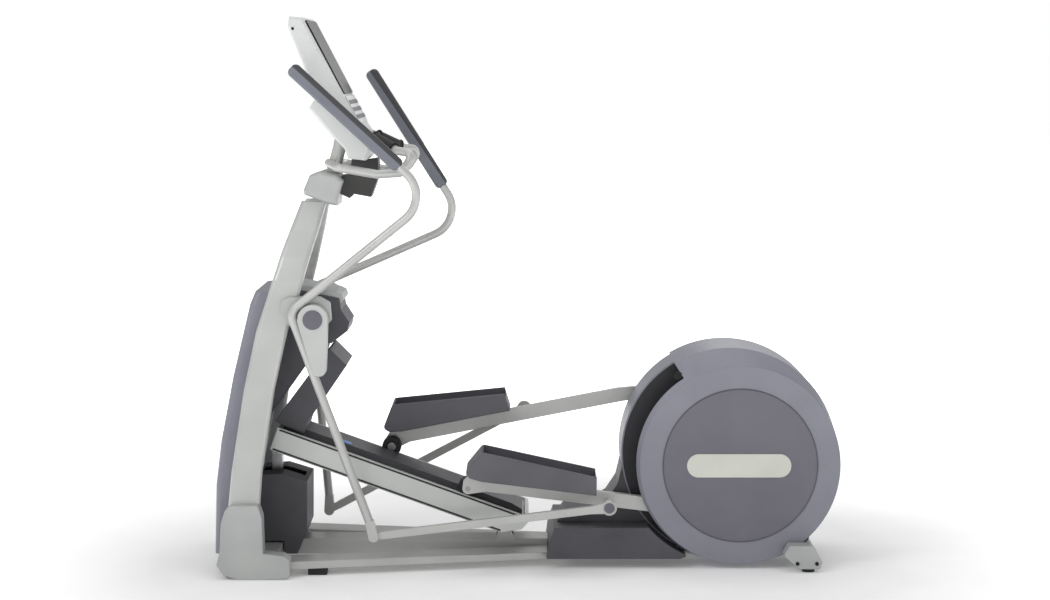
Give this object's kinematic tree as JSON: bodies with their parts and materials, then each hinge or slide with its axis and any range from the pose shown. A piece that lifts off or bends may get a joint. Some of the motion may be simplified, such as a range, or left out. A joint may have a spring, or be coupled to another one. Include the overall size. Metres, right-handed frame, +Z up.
{
  "type": "elliptical trainer",
  "caption": "Rear-crank elliptical trainer with a tilting ramp, two pedal arms on rollers, swinging handles linked by rods, a round crank housing and a console on an A-frame tower.",
  "frame": {"origin": "floor level, under the middle of the machine's length and width", "axes": "+X to the rear (crank housing), -X to the console, -Y to the user's left, +Z up"},
  "size_m": [2.002, 0.732, 1.77],
  "materials": {
    "silver_paint": "satin powder coat",
    "silver_aluminium": "satin painted extrusion",
    "grey_casting": "satin painted casting",
    "light_cover": "satin moulded",
    "dark_cover": "fine textured moulded",
    "ramp_top": "fine textured moulded",
    "housing_plastic": "satin moulded",
    "panel_plastic": "satin moulded",
    "pedal_plastic": "textured moulded",
    "grip_foam": "soft moulded grip",
    "black_rubber": "matte",
    "bright_steel": "machined",
    "flywheel_iron": "machined",
    "console_shell": "satin moulded",
    "display_glass": "glossy",
    "receiver_plastic": "fine textured moulded",
    "badge_plastic": "satin, blank"
  },
  "bodies": {
    "frame": {"centre_beam": "silver_paint", "left_base_rail": "silver_paint", "right_base_rail": "silver_paint", "left_front_foot": "grey_casting", "right_front_foot": "grey_casting", "rear_stabilizer": "silver_paint", "rear_end_caps": "grey_casting", "floor_pads": "black_rubber", "left_upright": "silver_aluminium", "right_upright": "silver_aluminium", "top_cap": "grey_casting", "front_shroud": "housing_plastic", "tower_cover": "dark_cover", "tower_head_cap": "grey_casting", "handle_pivot_brackets": "grey_casting", "lift_housing": "dark_cover", "lift_motor": "bright_steel", "console_mast": "silver_paint", "fixed_handlebar": "silver_paint", "pulse_grips": "black_rubber", "receiver_box": "receiver_plastic", "console_back": "console_shell", "console_bezel": "console_shell", "console_display": "display_glass", "left_core_shell": "housing_plastic", "right_core_shell": "housing_plastic", "left_side_cover": "housing_plastic", "right_side_cover": "housing_plastic", "round_panels": "panel_plastic", "badge_plates": "badge_plastic", "base_covers": "dark_cover", "drive_frame": "bright_steel", "crank_bearings": "bright_steel", "drive_belt": "black_rubber"},
    "left_wheel": {"left_transport_wheel": "black_rubber"},
    "right_wheel": {"right_transport_wheel": "black_rubber"},
    "ramp": {"ramp_frame": "silver_aluminium", "ramp_cover": "ramp_top", "ramp_shroud": "dark_cover"},
    "lift_strut": {"lift_strut": "bright_steel"},
    "crank": {"crank_axle": "bright_steel", "crank_pulley": "bright_steel", "crank_arms": "bright_steel"},
    "flywheel": {"flywheel": "flywheel_iron"},
    "left_carriage": {"left_roller_axle": "bright_steel"},
    "left_roller": {"left_roller": "black_rubber"},
    "left_pedal": {"left_pedal_arm": "silver_paint", "left_pedal_tray": "pedal_plastic"},
    "left_handle": {"left_handle": "silver_paint", "left_grip": "grip_foam", "left_hub_cover": "light_cover"},
    "left_rod": {"left_link_rod": "silver_paint"},
    "right_carriage": {"right_roller_axle": "bright_steel"},
    "right_roller": {"right_roller": "black_rubber"},
    "right_pedal": {"right_pedal_arm": "silver_paint", "right_pedal_tray": "pedal_plastic"},
    "right_handle": {"right_handle": "silver_paint", "right_grip": "grip_foam", "right_hub_cover": "light_cover"},
    "right_rod": {"right_link_rod": "silver_paint"}
  },
  "joints": [
    {"name": "ramp_tilt", "type": "hinge", "parent": "frame", "child": "ramp", "pos_m": [-0.066, 0, 0.088], "axis": [0, 1, 0], "range_deg": [-2.5, 10]},
    {"name": "lift_strut_pivot", "type": "hinge", "parent": "ramp", "child": "lift_strut", "pos_m": [-0.815, 0, 0.356], "axis": [0, 1, 0], "range_deg": [-11, 3.5]},
    {"name": "left_stride", "type": "slide", "parent": "ramp", "child": "left_carriage", "axis": [-0.9397, 0, 0.342], "range_m": [-0.02, 0.345]},
    {"name": "left_roller_spin", "type": "hinge", "parent": "left_carriage", "child": "left_roller", "pos_m": [-0.18447, -0.113, 0.25481], "axis": [0, 1, 0], "continuous": true},
    {"name": "left_arm_pitch", "type": "hinge", "parent": "left_carriage", "child": "left_pedal", "pos_m": [-0.18447, -0.151, 0.25481], "axis": [0, 1, 0], "range_deg": [-12, 3.75]},
    {"name": "left_handle_swing", "type": "hinge", "parent": "frame", "child": "left_handle", "pos_m": [-0.669, -0.284, 0.819], "axis": [0, 1, 0], "range_deg": [-2.4, 24.5]},
    {"name": "left_rod_pivot", "type": "hinge", "parent": "left_handle", "child": "left_rod", "pos_m": [-0.48211, -0.284, 0.12368], "axis": [0, 1, 0], "range_deg": [-35.4, 3]},
    {"name": "left_wheel_spin", "type": "hinge", "parent": "frame", "child": "left_wheel", "pos_m": [-0.936, -0.332, 0.029], "axis": [0, 1, 0], "continuous": true},
    {"name": "right_stride", "type": "slide", "parent": "ramp", "child": "right_carriage", "axis": [-0.9397, 0, 0.342], "range_m": [-0.345, 0.02]},
    {"name": "right_roller_spin", "type": "hinge", "parent": "right_carriage", "child": "right_roller", "pos_m": [-0.44524, 0.113, 0.34972], "axis": [0, 1, 0], "continuous": true},
    {"name": "right_arm_pitch", "type": "hinge", "parent": "right_carriage", "child": "right_pedal", "pos_m": [-0.44524, 0.151, 0.34972], "axis": [0, 1, 0], "range_deg": [-12, 3.75]},
    {"name": "right_handle_swing", "type": "hinge", "parent": "frame", "child": "right_handle", "pos_m": [-0.669, 0.284, 0.819], "axis": [0, 1, 0], "range_deg": [-22.1, 2.2]},
    {"name": "right_rod_pivot", "type": "hinge", "parent": "right_handle", "child": "right_rod", "pos_m": [-0.67087, 0.284, 0.099], "axis": [0, 1, 0], "range_deg": [-3, 35.2]},
    {"name": "right_wheel_spin", "type": "hinge", "parent": "frame", "child": "right_wheel", "pos_m": [-0.936, 0.332, 0.029], "axis": [0, 1, 0], "continuous": true},
    {"name": "crank_spin", "type": "hinge", "parent": "frame", "child": "crank", "pos_m": [0.692, 0, 0.337], "axis": [0, 1, 0], "continuous": true},
    {"name": "flywheel_spin", "type": "hinge", "parent": "frame", "child": "flywheel", "pos_m": [0.5, 0, 0.425], "axis": [0, 1, 0], "continuous": true}
  ],
  "couplings": [
    {"joint": "lift_strut_pivot", "follows": "ramp_tilt", "ratio": -1},
    {"joint": "left_roller_spin", "follows": "left_stride", "rad_per_m": -31.546},
    {"joint": "left_arm_pitch", "follows": "ramp_tilt", "ratio": -1.1},
    {"joint": "left_handle_swing", "follows": "left_stride", "rad_per_m": 1.19},
    {"joint": "left_rod_pivot", "follows": "left_stride", "rad_per_m": -1.74},
    {"joint": "right_stride", "follows": "left_stride", "ratio": -1},
    {"joint": "right_roller_spin", "follows": "left_stride", "rad_per_m": 31.546},
    {"joint": "right_arm_pitch", "follows": "ramp_tilt", "ratio": -1.1},
    {"joint": "right_handle_swing", "follows": "left_stride", "rad_per_m": -1.065},
    {"joint": "right_rod_pivot", "follows": "left_stride", "rad_per_m": 1.729},
    {"joint": "flywheel_spin", "follows": "crank_spin", "ratio": 5}
  ]
}
